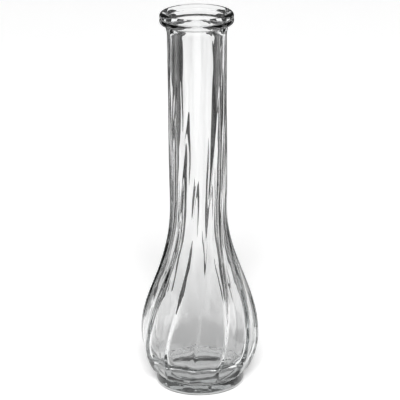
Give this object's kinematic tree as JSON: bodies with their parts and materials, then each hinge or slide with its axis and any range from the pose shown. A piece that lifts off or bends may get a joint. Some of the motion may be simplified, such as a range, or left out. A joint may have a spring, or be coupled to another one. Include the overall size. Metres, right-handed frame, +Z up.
{
  "type": "glass bud vase",
  "caption": "Slender clear glass bud vase with a swirl of shallow flutes, straight neck, beaded rim, rounded belly and foot ring.",
  "frame": {"origin": "centre of the resting face, under the foot ring", "axes": "+Z up along the vase's own axis, out of the mouth; -Y is the side seen in the front view; +X to the right of that view"},
  "size_m": [0.0696, 0.0696, 0.225],
  "materials": {
    "clear_glass": "polished"
  },
  "bodies": {
    "root": {"vase": "clear_glass"}
  },
  "joints": []
}
